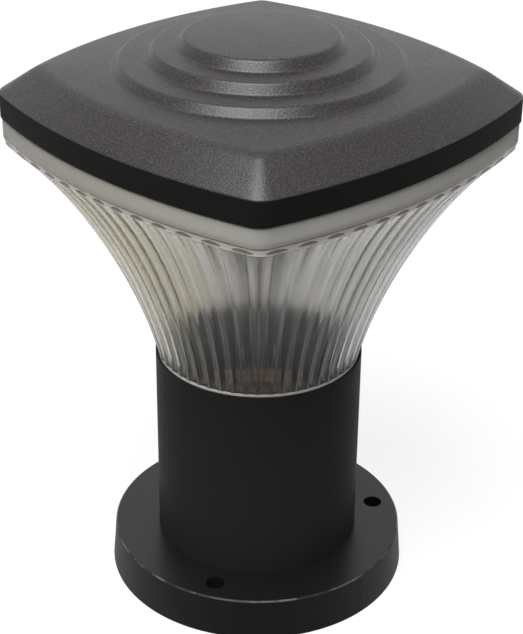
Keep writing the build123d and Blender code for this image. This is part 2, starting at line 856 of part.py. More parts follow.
# Tray: aluminium plate under the cap that carries the light source and spreads its heat
tray_inset = rim_inner_inset + tray_clearance
driver_middle = driver_setback + driver_width / 2
ear_reach = driver_length / 2 + driver_ear_length / 2
ear_places = [(-ear_reach, driver_middle), (ear_reach, driver_middle)]
with BuildPart() as led_tray:
    with BuildSketch(Plane.XY.offset(tray_foot)):
        with BuildLine():
            draw_square(cap_half_width - tray_inset, cap_side_radius - tray_inset, tray_corner_radius)
        make_face()
        Circle(centre_hole_diameter / 2, mode=Mode.SUBTRACT)
        with Locations(*tray_boss_places):
            Circle(small_screw / 2 + pass_clearance, mode=Mode.SUBTRACT)
        with PolarLocations(board_screw_circle / 2, board_screw_count):
            Circle(small_screw / 2 + thread_clearance, mode=Mode.SUBTRACT)
    extrude(amount=tray_thickness)
    with BuildSketch(diagonal_plane(tray_foot)):
        with Locations(*bush_places):
            Circle(bush_waist_diameter / 2 + thread_clearance)
        with Locations(*ear_places):
            Circle(small_screw / 2 + thread_clearance)
    extrude(amount=tray_thickness, mode=Mode.SUBTRACT)
finish(led_tray, "led_tray")
tray_screws = screws(
    ceiling_plane(tray_foot),
    tray_boss_places,
    small_screw,
    tray_thickness + pilot_grip,
    small_head,
    small_head_height,
)
finish(tray_screws, "tray_screws")

# Light source: round white board with two rings of chips that face down
with BuildPart() as led_board:
    with BuildSketch(Plane.XY.offset(board_foot)):
        Circle(board_diameter / 2)
        Circle(centre_hole_diameter / 2, mode=Mode.SUBTRACT)
        with PolarLocations(board_screw_circle / 2, board_screw_count):
            Circle(small_screw / 2 + pass_clearance, mode=Mode.SUBTRACT)
    extrude(amount=board_thickness)
    with BuildSketch(diagonal_plane(board_foot)):
        with Locations(bush_places[0]):
            Circle(board_lead_hole_diameter / 2)
    extrude(amount=board_thickness, mode=Mode.SUBTRACT)
finish(led_board, "led_board")
with BuildPart() as led_chips:
    with BuildSketch(Plane.XY.offset(board_foot)):
        for ring_diameter, chip_count in zip(chip_ring_diameters, chip_ring_counts):
            with PolarLocations(ring_diameter / 2, chip_count, start_angle=180 / chip_count):
                Rectangle(chip_width, chip_length)
    extrude(amount=-chip_height)
finish(led_chips, "led_chips")
board_screw_places = [
    polar(board_screw_circle / 2, -360 * place / board_screw_count) for place in range(board_screw_count)
]
board_screws = screws(
    ceiling_plane(board_foot),
    board_screw_places,
    small_screw,
    board_thickness + tray_thickness,
    small_head,
    small_head_height,
)
finish(board_screws, "board_screws")

# Driver: potted case on top of the tray, with an ear at each end
with BuildPart() as driver_case:
    with BuildSketch(diagonal_plane(tray_top)):
        with Locations((0, driver_middle)):
            Rectangle(driver_length, driver_width)
    extrude(amount=driver_height)
    fillet(driver_case.edges().filter_by(Axis.Z), driver_fillet)
    fillet(driver_case.faces().sort_by(Axis.Z)[-1].edges(), driver_fillet / 2)
    with BuildSketch(diagonal_plane(tray_top)):
        with Locations((0, driver_middle)):
            Rectangle(driver_length + 2 * driver_ear_length, driver_ear_width)
        with Locations(*ear_places):
            Circle(small_screw / 2 + pass_clearance, mode=Mode.SUBTRACT)
    extrude(amount=driver_ear_thickness)
finish(driver_case, "driver_case")
driver_screws = screws(
    diagonal_plane(tray_top + driver_ear_thickness),
    ear_places,
    small_screw,
    driver_ear_thickness + tray_thickness,
    small_head,
    small_head_height,
)
finish(driver_screws, "driver_screws")

# Bushes: keep the leads off the edges of the tray's two lead holes
with BuildPart() as lead_bushes:
    with BuildSketch(diagonal_plane(tray_foot)):
        with Locations(*bush_places):
            Circle(bush_waist_diameter / 2)
    extrude(amount=tray_thickness)
    with BuildSketch(diagonal_plane(tray_top)):
        with Locations(*bush_places):
            Circle(bush_flange_diameter / 2)
    extrude(amount=bush_flange_height)
    with BuildSketch(diagonal_plane(tray_foot)):
        with Locations(*bush_places):
            Circle(bush_bore / 2)
    extrude(amount=tray_thickness + bush_flange_height, mode=Mode.SUBTRACT)
finish(lead_bushes, "lead_bushes")

# Driver leads: a pair from the terminal tubes, along the back of the rod and up to the driver
lead_radius = lead_diameter / 2
rod_side = sqrt((rod_diameter / 2 + lead_radius + lead_clearance) ** 2 - lead_offset**2)
lead_foot = tube_foot + lead_start
lead_rise = terminal_top + lead_stand
lead_join = lead_rise + lead_gather
lead_leave = tray_foot - lead_gather - lead_stand
lead_upright = tray_foot - lead_stand
driver_entry = tray_top + lead_height_at_driver


def driver_lead(side):
    """One of the two driver leads: side is -1 or 1."""
    near_rod = side * lead_offset
    return lead([
        (side * terminal_pitch / 2, terminal_middle, lead_foot),
        (side * terminal_pitch / 2, terminal_middle, lead_rise),
        (near_rod, rod_side, lead_join),
        (near_rod, rod_side, lead_leave),
        (near_rod, bush_places[0][1], lead_upright),
        (near_rod, bush_places[0][1], driver_entry),
        (near_rod, driver_setback, driver_entry),
    ])


driver_lead_pair = [driver_lead(-1), driver_lead(1)]
with BuildPart() as driver_leads:
    add(driver_lead_pair)
finish(driver_leads, "driver_leads")


# Board leads: a pair from the driver down through the second bush to the board
def board_lead(side):
    """One of the two board leads: side is -1 or 1."""
    lead_place = bush_places[1][0] + side * lead_offset
    return lead([
        (lead_place, driver_setback, driver_entry),
        (lead_place, bush_places[1][1], driver_entry),
        (lead_place, bush_places[1][1], tray_foot),
    ])


board_lead_pair = [board_lead(-1), board_lead(1)]
with BuildPart() as board_leads:
    add(board_lead_pair)
finish(board_leads, "board_leads")

# Ties: bands that hold the leads to the rod
tie_slack = lead_clearance / 2
tie_inner_width = 2 * (max(rod_diameter / 2, lead_offset + lead_radius) + tie_slack)
tie_inner_depth = rod_diameter / 2 + rod_side + lead_radius + 2 * tie_slack
tie_middle = (rod_side + lead_radius - rod_diameter / 2) / 2
tie_spacing = (lead_leave - lead_join) / tie_count
tie_inner_corner = lead_radius + tie_slack / 2
tie_width = tie_inner_width + 2 * tie_wall
tie_depth = tie_inner_depth + 2 * tie_wall
with BuildPart() as lead_ties:
    for tie in range(tie_count):
        with BuildSketch(diagonal_plane(lead_join + tie_spacing * (tie + 0.5))):
            with Locations((0, tie_middle)):
                RectangleRounded(tie_width, tie_depth, tie_inner_corner + tie_wall)
                RectangleRounded(tie_inner_width, tie_inner_depth, tie_inner_corner, mode=Mode.SUBTRACT)
        extrude(amount=tie_height)
finish(lead_ties, "lead_ties")
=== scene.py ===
# %% [markdown]
# # A garden post light
# The light has four parts that show: a black flange, a black post, a clear fluted diffuser and a
# black cap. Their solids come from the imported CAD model. Here two of them, the diffuser and the
# cap, are made again as fine surfaces, and every piece gets a material. All sizes are the CAD
# model's own, written in millimetres and turned to metres when a mesh is made.

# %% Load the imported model
import json
import bpy
import numpy as np
from mathutils import Matrix, Vector


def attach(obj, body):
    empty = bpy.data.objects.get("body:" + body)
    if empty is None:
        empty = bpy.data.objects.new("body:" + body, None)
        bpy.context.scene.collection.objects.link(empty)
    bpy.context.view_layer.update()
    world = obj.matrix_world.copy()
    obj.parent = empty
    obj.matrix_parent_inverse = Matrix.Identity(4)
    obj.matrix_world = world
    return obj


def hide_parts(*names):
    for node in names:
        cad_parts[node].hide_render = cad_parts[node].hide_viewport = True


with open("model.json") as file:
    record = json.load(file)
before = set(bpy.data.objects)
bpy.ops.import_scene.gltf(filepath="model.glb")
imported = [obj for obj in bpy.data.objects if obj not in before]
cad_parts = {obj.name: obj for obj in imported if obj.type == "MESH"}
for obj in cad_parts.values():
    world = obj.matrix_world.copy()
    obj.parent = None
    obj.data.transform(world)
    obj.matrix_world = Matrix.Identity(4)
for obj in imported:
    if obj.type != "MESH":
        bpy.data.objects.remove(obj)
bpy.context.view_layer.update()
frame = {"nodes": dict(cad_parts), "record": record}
nodes = frame["nodes"]
slot_of = {part["node"]: part["material_slot"] for part in frame["record"]["subparts"]}
MM = 0.001

# %% [markdown]
# ## Camera
# The photograph is taken from a little above, square on to one corner of the head. The lens and
# the place were worked out from the outlines of the cap, the post and the flange, so the camera is
# set from those numbers and needs no eye-balling.

# %% Camera
IMAGE_HEIGHT = 634
SENSOR = 36.0
FOCAL_PIXELS = 1621.7
CAMERA_REACH = 617.7
CAMERA_HEIGHT = 456.6
CAMERA_PITCH = np.radians(28.45)
CAMERA_YAW = np.radians(0.10)
CAMERA_ROLL = np.radians(0.60)
FRONT_ANGLE = np.radians(45)


def camera_axes():
    """Right, up and backward axes: yaw and pitch first, then the roll about the line of sight."""
    forward = np.array([
        np.sin(CAMERA_YAW) * np.cos(CAMERA_PITCH),
        np.cos(CAMERA_YAW) * np.cos(CAMERA_PITCH),
        -np.sin(CAMERA_PITCH),
    ])
    right = np.array([np.cos(CAMERA_YAW), -np.sin(CAMERA_YAW), 0.0])
    up = np.cross(right, forward)
    turned_right = np.cos(CAMERA_ROLL) * right + np.sin(CAMERA_ROLL) * up
    turned_up = np.cos(CAMERA_ROLL) * up - np.sin(CAMERA_ROLL) * right
    return turned_right, turned_up, -forward


camera_data = bpy.data.cameras.new("camera")
camera_data.sensor_fit = "VERTICAL"
camera_data.sensor_height = SENSOR
camera_data.lens = FOCAL_PIXELS * SENSOR / IMAGE_HEIGHT
camera = bpy.data.objects.new("camera", camera_data)
bpy.context.scene.collection.objects.link(camera)
placing = Matrix.Identity(4)
for column, axis in enumerate(camera_axes()):
    for row in range(3):
        placing[row][column] = axis[row]
placing[1][3] = -CAMERA_REACH * MM
placing[2][3] = CAMERA_HEIGHT * MM
camera.matrix_world = Matrix.Rotation(FRONT_ANGLE, 4, "Z") @ placing
bpy.context.scene.camera = camera
print("camera lens", round(camera_data.lens, 2), "mm")

# %% [markdown]
# ## Helpers
# Five small functions serve the whole lesson. One turns a written colour into the linear numbers
# that shaders use. One adds a shader node with its settings and links. Two turn a grid of points
# into a mesh that closes round its columns, and round its rows where that is asked. The last one
# starts a material.

# %% Colours, nodes and meshes
SHARP_ANGLE = np.radians(38)


def linear(code):
    """sRGB hex to linear RGBA: under 0.04045 divide by 12.92, else raise to the power 2.4."""
    srgb = np.array([int(code[place:place + 2], 16) for place in (1, 3, 5)]) / 255
    low = srgb / 12.92
    high = ((srgb + 0.055) / 1.055) ** 2.4
    return tuple(np.where(srgb <= 0.04045, low, high)) + (1.0,)


def add_node(tree, kind, inputs=None, **settings):
    """Add one node: settings are its properties, inputs its sockets' values or the links to them."""
    node = tree.nodes.new(kind)
    for name, value in settings.items():
        setattr(node, name, value)
    for name, value in (inputs or {}).items():
        if isinstance(value, bpy.types.NodeSocket):
            tree.links.new(value, node.inputs[name])
        else:
            node.inputs[name].default_value = value
    return node


def grid_faces(rows, columns, close_rows):
    """Quads between neighbouring rows and columns, the columns wrapping round."""
    row = np.arange(rows if close_rows else rows - 1)[:, None]
    column = np.arange(columns)[None, :]
    next_row = (row + 1) % rows
    next_column = (column + 1) % columns
    corners = (
        row * columns + column,
        row * columns + next_column,
        next_row * columns + next_column,
        next_row * columns + column,
    )
    return np.stack(corners, axis=-1).reshape(-1, 4)


def grid_piece(name, points, material, close_rows=False):
    """Mesh object from a grid of points in mm: rows by columns, the columns closed round."""
    rows, columns = points.shape[:2]
    quads = grid_faces(rows, columns, close_rows)
    mesh = bpy.data.meshes.new(name)
    mesh.from_pydata((points.reshape(-1, 3) * MM).tolist(), [], quads.tolist())
    mesh.polygons.foreach_set("use_smooth", np.ones(len(quads), dtype=bool))
    mesh.materials.append(material)
    mesh.update()
    mesh.set_sharp_from_angle(angle=SHARP_ANGLE)
    piece = bpy.data.objects.new(name, mesh)
    bpy.context.scene.collection.objects.link(piece)
    print(name, "has", 2 * len(quads), "triangles")
    return piece


def new_material(name):
    """Empty material with one principled shader: gives the material, its tree and the shader."""
    material = bpy.data.materials.new(name)
    material.use_nodes = True
    return material, material.node_tree, material.node_tree.nodes["Principled BSDF"]


print("a middle grey is", round(float(linear("#808080")[0]), 3), "in linear light")

# %% [markdown]
# ## Plan of the head
# Seen from above, the cap is a square whose sides bow out and whose corners are round: a large arc
# for each side runs into a small one at each corner. Everything in the head follows this plan,
# moved in by some distance, so it is written once, as the distance from the axis at an angle.

# %% Plan of the head
HEAD_HALF = 87.25
HEAD_SIDE_RADIUS = 254.0
HEAD_CORNER_RADIUS = 10.0


def square_plan(angle, side_mid, side_radius, corner_radius):
    """Distance to a bowed square: where the ray meets the side's arc, or past the join the corner's."""
    side_centre = side_mid - side_radius
    reach = side_radius - corner_radius
    corner_centre = (side_centre + np.sqrt(2 * reach**2 - side_centre**2)) / 2
    meet_x = side_centre + (corner_centre - side_centre) * side_radius / reach
    meet_y = corner_centre * side_radius / reach
    from_side = np.abs((angle + np.pi / 4) % (np.pi / 2) - np.pi / 4)
    on_side = side_centre * np.cos(from_side)
    on_side = on_side + np.sqrt(side_radius**2 - (side_centre * np.sin(from_side)) ** 2)
    from_corner = np.pi / 4 - from_side
    corner_reach = corner_centre * np.sqrt(2)
    under_root = np.maximum(corner_radius**2 - (corner_reach * np.sin(from_corner)) ** 2, 0)
    on_corner = corner_reach * np.cos(from_corner) + np.sqrt(under_root)
    return np.where(from_side < np.arctan2(meet_y, meet_x), on_side, on_corner)


def head_plan(angle, inset):
    """The cap's plan, moved in evenly."""
    return square_plan(
        angle, HEAD_HALF - inset, HEAD_SIDE_RADIUS - inset, HEAD_CORNER_RADIUS - inset
    )


def around(radius, angle, height):
    """Points from distances to the axis, angles and heights, which are broadcast together."""
    radius, angle, height = np.broadcast_arrays(radius, angle, height)
    return np.stack((radius * np.cos(angle), radius * np.sin(angle), height), axis=-1)


print("plan: side", head_plan(0.0, 0.0).round(1), "corner", head_plan(np.pi / 4, 0.0).round(1))

# %% [markdown]
# ## Clear polycarbonate
# The diffuser is moulded in clear polycarbonate that has been in the weather: it lets light through
# with a grey cast and its faces are polished. The cast is painted warmer on the left side: a painted
# warm light from that side. Four numbers at each point of the mesh carry what differs from place to
# place: dirt and painted shade, paleness for painted light and highlights and for the pale strip, milk
# for the band and the haze near the top, and shade for the grey parts, painted shade high in the grooves.
# Polycarbonate's index of refraction is 1.58. A lower one is used here, because it gives the flutes
# a softer contrast, nearer to the photograph's.

# %% Material of the diffuser
FLOW_MARK = 9.0
WARM_LIGHT_START = -10.0
WARM_LIGHT_END = -80.0
POLISH = 0.05
FLOW_DULL = 0.08
MILK_DULL = 0.4
CLEAR_INDEX = 1.33
GLINT = 0.25

clear_plastic, tree, shader = new_material("clear_polycarbonate")
place = add_node(tree, "ShaderNodeTexCoord")
flow = add_node(
    tree, "ShaderNodeTexNoise",
    {"Vector": place.outputs["Object"], "Scale": 1 / (FLOW_MARK * MM), "Detail": 3.0},
)
split = add_node(tree, "ShaderNodeSeparateXYZ", {"Vector": place.outputs["Object"]})
sideways = add_node(
    tree, "ShaderNodeMath", {0: split.outputs["X"], 1: split.outputs["Y"]}, operation="ADD"
)
painted_warm_light = add_node(
    tree, "ShaderNodeMapRange",
    {"Value": sideways.outputs["Value"], "From Min": WARM_LIGHT_START * MM, "From Max": WARM_LIGHT_END * MM},
)
share = {
    name: add_node(tree, "ShaderNodeAttribute", attribute_name=name).outputs["Fac"]
    for name in ("dirt", "pale", "milk", "shade")
}
# Squared, the milk is full on the band and hardly there in the haze below it.
milk_squared = add_node(
    tree, "ShaderNodeMath", {0: share["milk"], 1: share["milk"]}, operation="MULTIPLY"
).outputs["Value"]
# The cast turns warmer towards the left: painted warm light.
colour = add_node(
    tree, "ShaderNodeMix",
    {"Factor": painted_warm_light.outputs["Result"], "A": linear("#c8c7c5"), "B": linear("#d0c9b0")},
    data_type="RGBA",
).outputs["Result"]
# Milk, then grey for shade, pale for painted light and the pale strip, and brown for dirt and for the
# painted shade of the leaves.
layers = (
    (milk_squared, "#b4b2ac"),
    (share["shade"], "#62615f"),
    (share["pale"], "#f8f5ee"),
    (share["dirt"], "#938479"),
)
for amount, code in layers:
    colour = add_node(
        tree, "ShaderNodeMix", {"Factor": amount, "A": colour, "B": linear(code)}, data_type="RGBA"
    ).outputs["Result"]
clear = 1.0
for amount, loss in ((share["pale"], -1.0), (milk_squared, -0.7), (share["dirt"], -0.7)):
    clear = add_node(
        tree, "ShaderNodeMath", {0: amount, 1: loss, 2: clear},
        operation="MULTIPLY_ADD", use_clamp=True,
    ).outputs["Value"]
polish = add_node(
    tree, "ShaderNodeMath", {0: flow.outputs["Fac"], 1: FLOW_DULL, 2: POLISH},
    operation="MULTIPLY_ADD",
)
rough = add_node(
    tree, "ShaderNodeMath", {0: share["milk"], 1: MILK_DULL, 2: polish.outputs["Value"]},
    operation="MULTIPLY_ADD",
)
tree.links.new(colour, shader.inputs["Base Color"])
tree.links.new(rough.outputs["Value"], shader.inputs["Roughness"])
tree.links.new(clear, shader.inputs["Transmission Weight"])
shader.inputs["IOR"].default_value = CLEAR_INDEX
shader.inputs["Specular Tint"].default_value = (GLINT, GLINT, GLINT, 1.0)
print("clear plastic ready")

# %% [markdown]
# ## Flare of the diffuser
# The diffuser starts as a round neck in the post, flares out to the bowed square of the head and ends
# in a plain strip and a band with a tongue that the cap sits over. A loft through a few sections
# could make it too. Here it is written as a distance from the axis, because grooves are then easy to
# take off it: at each height it is a share of the way from the neck's circle to the head's plan.

# %% Flare of the diffuser
POST_TOP = 108.0
FLARE_FOOT = 109.2
STRIP_FOOT = 202.6
FLARE_RADIUS = 43.85
FLARE_INSET = 1.45
FOOT_WALL = 3.4
TOP_WALL = 4.4
SPREAD_LINE = 0.45
SPREAD_SQUARE = 0.47
SPREAD_EIGHTH = 0.08


def spread(level):
    """Share of the flare's spread at a share of its height: a straight, a square and an eighth power."""
    return SPREAD_LINE * level + SPREAD_SQUARE * level**2 + SPREAD_EIGHTH * level**8


def spread_slope(level):
    """How fast the spread grows with the level: each power comes down by one and multiplies."""
    return SPREAD_LINE + 2 * SPREAD_SQUARE * level + 8 * SPREAD_EIGHTH * level**7


def flare_level(height):
    """Share of the flare's height."""
    return (height - POST_TOP) / (STRIP_FOOT - POST_TOP)


def land(angle, height):
    """Distance to the crests: the neck's radius plus a share of the way out to the head's plan."""
    return FLARE_RADIUS + (head_plan(angle, FLARE_INSET) - FLARE_RADIUS) * spread(flare_level(height))


def lean(angle, height):
    """How far the wall moves out for each unit that it rises."""
    reach = head_plan(angle, FLARE_INSET) - FLARE_RADIUS
    return reach * spread_slope(flare_level(height)) / (STRIP_FOOT - POST_TOP)


def inside(angle, height):
    """Distance to the inner face: the crests less the wall, measured square to the leaning wall."""
    wall = FOOT_WALL + (TOP_WALL - FOOT_WALL) * flare_level(height)
    return land(angle, height) - wall * np.hypot(1, lean(angle, height))


print("flare at a corner ends", land(FRONT_ANGLE, STRIP_FOOT).round(1), "mm from the axis")

# %% [markdown]
# ## Grooves of the diffuser
# Fifty-two shallow round grooves run up the flare, with a crest on each corner. Each is the arc of a
# circle, sunk into the flare. The columns of the grid are placed for it: even steps along each arc,
# and a few across each crest, so that every edge between them lies on a column.

# %% Grooves of the diffuser
FLUTES = 52
GROOVE_SHARE = 0.73
GROOVE_DEPTH = 0.11
GROOVE_STEPS = 12
CREST_STEPS = 4
FLARE_ROWS = 44
FOOT_ROW = 0.012


def flute_angles():
    """Angles round the flare: in each flute even steps along the groove's arc, then across the crest."""
    arc_half = 2 * np.arctan(2 * GROOVE_DEPTH)
    arc = np.linspace(-arc_half, arc_half, GROOVE_STEPS + 1)
    on_groove = np.sin(arc) / np.sin(arc_half) * GROOVE_SHARE / 2
    on_crest = np.linspace(GROOVE_SHARE / 2, 1 - GROOVE_SHARE / 2, CREST_STEPS + 1)[1:-1]
    share = np.concatenate((on_groove, on_crest)) + 0.5
    return FRONT_ANGLE + 2 * np.pi / FLUTES * (np.arange(FLUTES)[:, None] + share).reshape(1, -1)


def across_groove(angle):
    """Place across each groove: minus a half and a half are its edges, and crests lie outside."""
    pitch = 2 * np.pi / FLUTES
    return ((angle - FRONT_ANGLE) % pitch / pitch - 0.5) / GROOVE_SHARE


def groove_share(angle):
    """Depth of the grooves as a share of their width: the arc of a circle across each groove."""
    radius = (0.25 + GROOVE_DEPTH**2) / (2 * GROOVE_DEPTH)
    under_root = np.maximum(radius**2 - across_groove(angle) ** 2, 0)
    return np.maximum(np.sqrt(under_root) - (radius - GROOVE_DEPTH), 0)


def groove(angle, height):
    """Distance that the grooves go in from the crests, measured square to the axis."""
    width = 2 * np.pi / FLUTES * GROOVE_SHARE * land(angle, height)
    return groove_share(angle) * width * np.hypot(1, lean(angle, height))


def flare_points(angle):
    """Rows of the fluted flare, from its foot up to the strip: two close ones, then even steps."""
    share = np.concatenate(((0, FOOT_ROW), np.linspace(2 * FOOT_ROW, 1, FLARE_ROWS)))[:, None]
    height = FLARE_FOOT + (STRIP_FOOT - FLARE_FOOT) * share
    return around(land(angle, height) - groove(angle, height), angle, height)


print("a groove by a corner ends", groove(FRONT_ANGLE + np.pi / FLUTES, STRIP_FOOT).round(2), "mm deep")

# %% [markdown]
# ## Strip and band
# Over the end of each groove the strip has a leaf-shaped dark patch with a pale outline: painted
# shade, and a painted highlight round it. A pattern in the material could draw it, but nodes would
# have to work out each groove's arc again.
# So rows of the grid follow the leaf's edges: straight on the crests, sagging under each leaf and
# arching over it. The band's rows follow the head's plan.

# %% Strip and band
BAND_FOOT = 205.5
STRIP_INSET = 1.3
STRIP_TOP_INSET = 0.85
FINE_STEP = 0.06
EDGE_LINE = 0.26
LEAF_TIP = 0.85
LEAF_SAG = 0.45
LEAF_RISE = 1.05
LEAF_GAP = 0.1
LEAF_OUTLINE = 0.25


def strip_inset(height):
    """Inset of the plain strip, which leans out towards the band."""
    climb = (height - STRIP_FOOT) / (BAND_FOOT - STRIP_FOOT)
    return STRIP_INSET + (STRIP_TOP_INSET - STRIP_INSET) * climb


def strip_points(angle):
    """Rows up the strip: its edge, each leaf's foot and crown, which part at its tips, and its outline."""
    arch = groove_share(angle) / GROOVE_DEPTH
    edge = (0 * arch + FINE_STEP, 0 * arch + EDGE_LINE)
    foot = LEAF_TIP - LEAF_SAG * arch
    crown = LEAF_TIP + FINE_STEP + LEAF_RISE * arch
    outline = crown + LEAF_GAP * (1 + arch)
    over = outline + LEAF_OUTLINE
    heights = STRIP_FOOT + np.concatenate(edge + (foot, crown, outline, over, over + FINE_STEP))
    return around(head_plan(angle, strip_inset(heights)), angle, heights)


def plan_rows(angle, insets, heights):
    """Rows that follow the head's plan at given insets and heights."""
    return around(head_plan(angle, np.array(insets)[:, None]), angle, np.array(heights)[:, None])


leaf_top = strip_points(flute_angles())[..., 2].max()
print("leaves end", (BAND_FOOT - leaf_top).round(2), "mm under the band")

# %% [markdown]
# ## Painted shade, painted highlights and haze on the diffuser
# The marks on the flare are each a formula of the angle and the height. In the upper flare each
# groove's half away from the nearest corner is grey, most of all near the corners: painted shade.
# Low down a fainter grey lies all round. A haze grows towards the top. The crests are painted pale,
# a painted highlight: faintly near the corners and more along the sides, and the crest on each
# corner more in its upper part.

# %% Painted shade, painted highlights and haze of the diffuser
SHADED_FROM = -0.14
PANEL_SHADE = 0.65
PANEL_LEVELS = (0.45, 0.95)
PANEL_ANGLES = np.radians((45, 9))
LOW_SHADE = 0.3
LOW_LEVELS = (0.75, 0.35)
HAZE = 0.3
HAZE_LEVELS = (0.3, 0.7)
CREST_EDGE = 0.501
CREST_PAINTED_LIGHT = 0.08
SIDE_PAINTED_LIGHT = 0.32
SIDE_ANGLES = np.radians((9, 18))
CORNER_PAINTED_LIGHT = 0.3
CORNER_LEVELS = (0.35, 0.65)


def ramp(value, start, end):
    """Nought up to the start, one past the end and a straight line between them."""
    return np.clip((value - start) / (end - start), 0, 1)


def off_corner(angle):
    """Angle from the nearest corner, at most an eighth of a turn either way."""
    return (angle - FRONT_ANGLE + np.pi / 4) % (np.pi / 2) - np.pi / 4


def groove_shade(angle, height):
    """Painted shade on each groove's half away from the nearest corner, and a fainter grey low down all
    round.
    """
    off = off_corner(angle)
    outward = across_groove(angle) * np.sign(off)
    far_half = (outward > SHADED_FROM) & (outward < 0.5)
    level = flare_level(height)
    panel = PANEL_SHADE * far_half * ramp(level, *PANEL_LEVELS) * ramp(np.abs(off), *PANEL_ANGLES)
    return np.maximum(panel, LOW_SHADE * ramp(level, *LOW_LEVELS))


def flare_haze(height):
    """Milkiness of the flare: none low down, growing towards the top."""
    return HAZE * ramp(flare_level(height), *HAZE_LEVELS)


def painted_crest_light(angle, height):
    """Painted highlight on the crests: faint near the corners, more along the sides and high on each
    corner.
    """
    on_crest = np.abs(across_groove(angle)) > CREST_EDGE
    off = np.abs(off_corner(angle))
    at_corner = off < np.pi / FLUTES
    crest_lightening = CREST_PAINTED_LIGHT + (SIDE_PAINTED_LIGHT - CREST_PAINTED_LIGHT) * ramp(off, *SIDE_ANGLES)
    corner_lightening = CORNER_PAINTED_LIGHT * at_corner * ramp(flare_level(height), *CORNER_LEVELS)
    return on_crest * np.maximum(crest_lightening, corner_lightening)


print("palest crest at the top", painted_crest_light(flute_angles(), STRIP_FOOT).max().round(2))

# %% [markdown]
# ## Making the diffuser
# The diffuser is one closed surface: up the outside, over the tongue, down the smooth inside and
# back across the foot. Its rows come in blocks, and the place where each block starts says which rows
# get a share of dirt and painted shade, of paleness, of milk or of shade. Thin pale lines mark the
# neck and the strip's lower edge: painted light. A broken darker line lies along the band's foot.

# %% Make the diffuser
NECK_FOOT = 96.0
RIM_TOP = 213.6
TONGUE_TOP = 219.6
NECK_RADIUS = 44.0
NECK_INNER = 40.4
RIM_INSET = 0.6
TONGUE_INSET = 3.0
INNER_INSET = 5.0
INNER_ROWS = 24
LINE_HEIGHT = 0.4
NECK_BREAK = 0.1
NECK_BREAK_INSET = 0.12
RIM_BREAK = 0.2
INNER_STEP = 1.0
LEAF_SHARPNESS = 3
FOOT_DIRT = (0.6, 0.6, 0.5, 0.2)
STRIP_PALE = 0.82
LINE_DARKENING = 0.35


def diffuser_rows():
    """Rows round the section, and each point's share of dirt and painted shade, of pale edge and painted
    highlight, of milk and of shade.
    """
    angle = flute_angles()
    depth_share = np.clip(LEAF_SHARPNESS * groove_share(angle) / GROOVE_DEPTH, 0, 1)[0]
    neck_heights = [NECK_FOOT, POST_TOP - LINE_HEIGHT, POST_TOP, FLARE_FOOT - NECK_BREAK]
    inner_heights = np.linspace(STRIP_FOOT, FLARE_FOOT, INNER_ROWS)[:, None]
    band_heights = [BAND_FOOT, BAND_FOOT + LINE_HEIGHT / 2, BAND_FOOT + LINE_HEIGHT, RIM_TOP - LINE_HEIGHT]
    rim_insets = [RIM_INSET + RIM_BREAK, TONGUE_INSET, TONGUE_INSET]
    blocks = (
        around(NECK_RADIUS, angle, np.array(neck_heights)[:, None]),
        around(np.full((1, 1), NECK_RADIUS - NECK_BREAK_INSET), angle, FLARE_FOOT),
        flare_points(angle),
        strip_points(angle),
        plan_rows(angle, [STRIP_TOP_INSET] * 2, [BAND_FOOT - LINE_HEIGHT, BAND_FOOT - FINE_STEP]),
        plan_rows(angle, [RIM_INSET] * 4, band_heights),
        plan_rows(angle, rim_insets, [RIM_TOP, RIM_TOP, TONGUE_TOP]),
        plan_rows(angle, [INNER_INSET] * 3, [TONGUE_TOP, RIM_TOP, BAND_FOOT]),
        around(inside(angle, inner_heights), angle, inner_heights),
        around(NECK_INNER, angle, np.array([FLARE_FOOT - INNER_STEP, NECK_FOOT])[:, None]),
    )
    points = np.concatenate(blocks)
    starts = np.cumsum([0] + [len(block) for block in blocks])
    foot, edge, line, band = starts[2:6]
    flare = slice(foot, edge)
    flare_height = points[flare, :, 2]
    dirt, pale, milk, shade = np.zeros((4,) + points.shape[:2])
    # The neck rows are pale: a painted line of light along the neck.
    pale[2:foot] = 1.0
    # Crests are painted paler: painted highlights.
    pale[flare] = painted_crest_light(angle, flare_height)
    milk[flare] = flare_haze(flare_height)
    # Grooves get painted shade in their far halves high up, and a fainter grey low down.
    shade[flare] = groove_shade(angle, flare_height)
    dirt[foot:foot + len(FOOT_DIRT)] = np.array(FOOT_DIRT)[:, None] * depth_share
    # The lowest two flare rows are grey in the grooves, just above the neck.
    shade[foot:foot + 2] = depth_share
    # The flare's top row is darker in the grooves.
    dirt[edge - 1] = depth_share
    pale[edge:line + 1] = STRIP_PALE
    # The strip's lower edge is a pale line: a painted highlight.
    pale[edge:edge + 2] = 1.0
    # Each leaf is a dark patch: painted shade.
    dirt[edge + 2:edge + 4] = depth_share
    # Each leaf's outline is pale: a painted highlight.
    pale[edge + 4:edge + 6] = STRIP_PALE + (1 - STRIP_PALE) * depth_share
    # A broken darker line along the band's foot.
    dirt[line + 1:band + 2] = LINE_DARKENING + (1 - LINE_DARKENING) * depth_share
    milk[band + 2:starts[7] + 2] = 1.0
    return points, {"dirt": dirt, "pale": pale, "milk": milk, "shade": shade}


diffuser_points, diffuser_shares = diffuser_rows()
diffuser = grid_piece("fluted_diffuser", diffuser_points, clear_plastic, close_rows=True)
for name, share in diffuser_shares.items():
    layer = diffuser.data.attributes.new(name, "FLOAT", "POINT")
    layer.data.foreach_set("value", share.reshape(-1))
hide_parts("diffuser")
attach(diffuser, "diffuser")

# %% [markdown]
# ## Grained black plastic
# The cap is moulded in black ABS from an eroded mould, which leaves a fine matte grain on its top. The
# grain of such a mould is a few tenths of a millimetre, too fine to show at this distance, so it is
# drawn coarser, and its peaks are painted paler: painted glints, which show as sparkle on the slopes.
# The upright rim comes from a plain part of the mould: it has next to no grain and reflects less.

# %% Materials of the cap
GRAIN = 0.7
GRAIN_DEPTH = 0.2
PEAK_START = 0.45
PEAK_END = 0.7
CLOUD = 14.0


